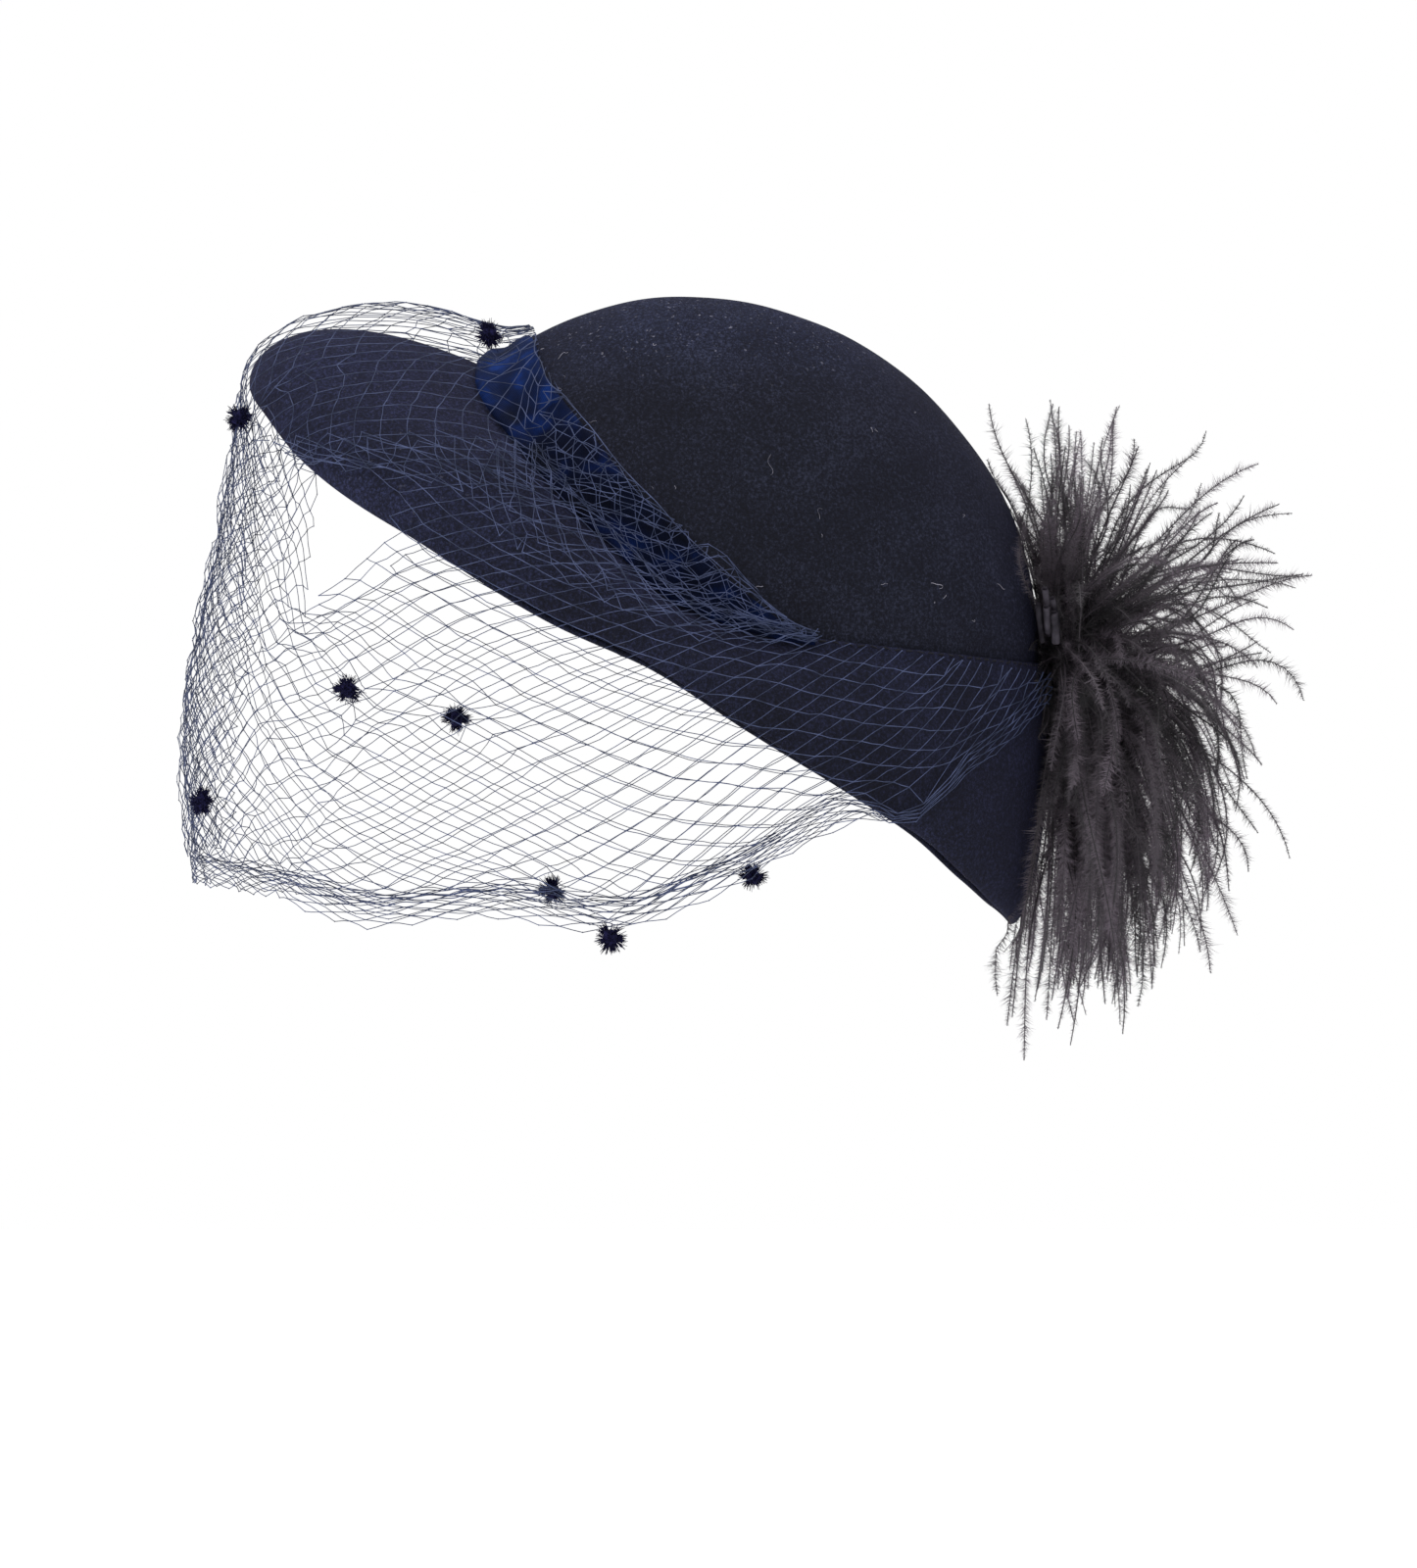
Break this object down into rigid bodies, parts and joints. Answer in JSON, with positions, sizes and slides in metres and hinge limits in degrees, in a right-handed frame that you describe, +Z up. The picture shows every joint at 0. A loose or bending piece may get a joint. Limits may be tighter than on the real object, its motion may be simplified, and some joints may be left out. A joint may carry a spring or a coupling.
{
  "type": "felt bonnet hat with veil and feather pompon",
  "caption": "Domed felt hat with a jutting front brim that drops to the nape, ribbon band, dotted net veil over the face and a feather pompon behind.",
  "frame": {"origin": "inside top of the crown, where a head carries the hat", "axes": "+Z up, -Y towards the front of the hat, +X towards the wearer's left"},
  "size_m": [0.207, 0.3326, 0.2275],
  "materials": {
    "crown_felt": "matte navy wool felt",
    "brim_felt": "matte navy wool felt with a violet cast",
    "ribbon": "soft royal navy ribbon",
    "net": "navy diamond net",
    "chenille": "navy chenille tufts",
    "feather": "charcoal ostrich feather"
  },
  "bodies": {
    "root": {"crown": "crown_felt", "brim": "brim_felt", "hat_band": "ribbon", "veil": "net", "veil_dot_brow": "chenille", "veil_dot_tip": "chenille", "veil_dot_cheek": "chenille", "veil_dot_mouth": "chenille", "veil_dot_jaw": "chenille", "veil_dot_far_cheek": "chenille", "veil_dot_far_jaw": "chenille", "veil_dot_far_ear": "chenille", "feather_pompon": "feather"}
  },
  "joints": []
}
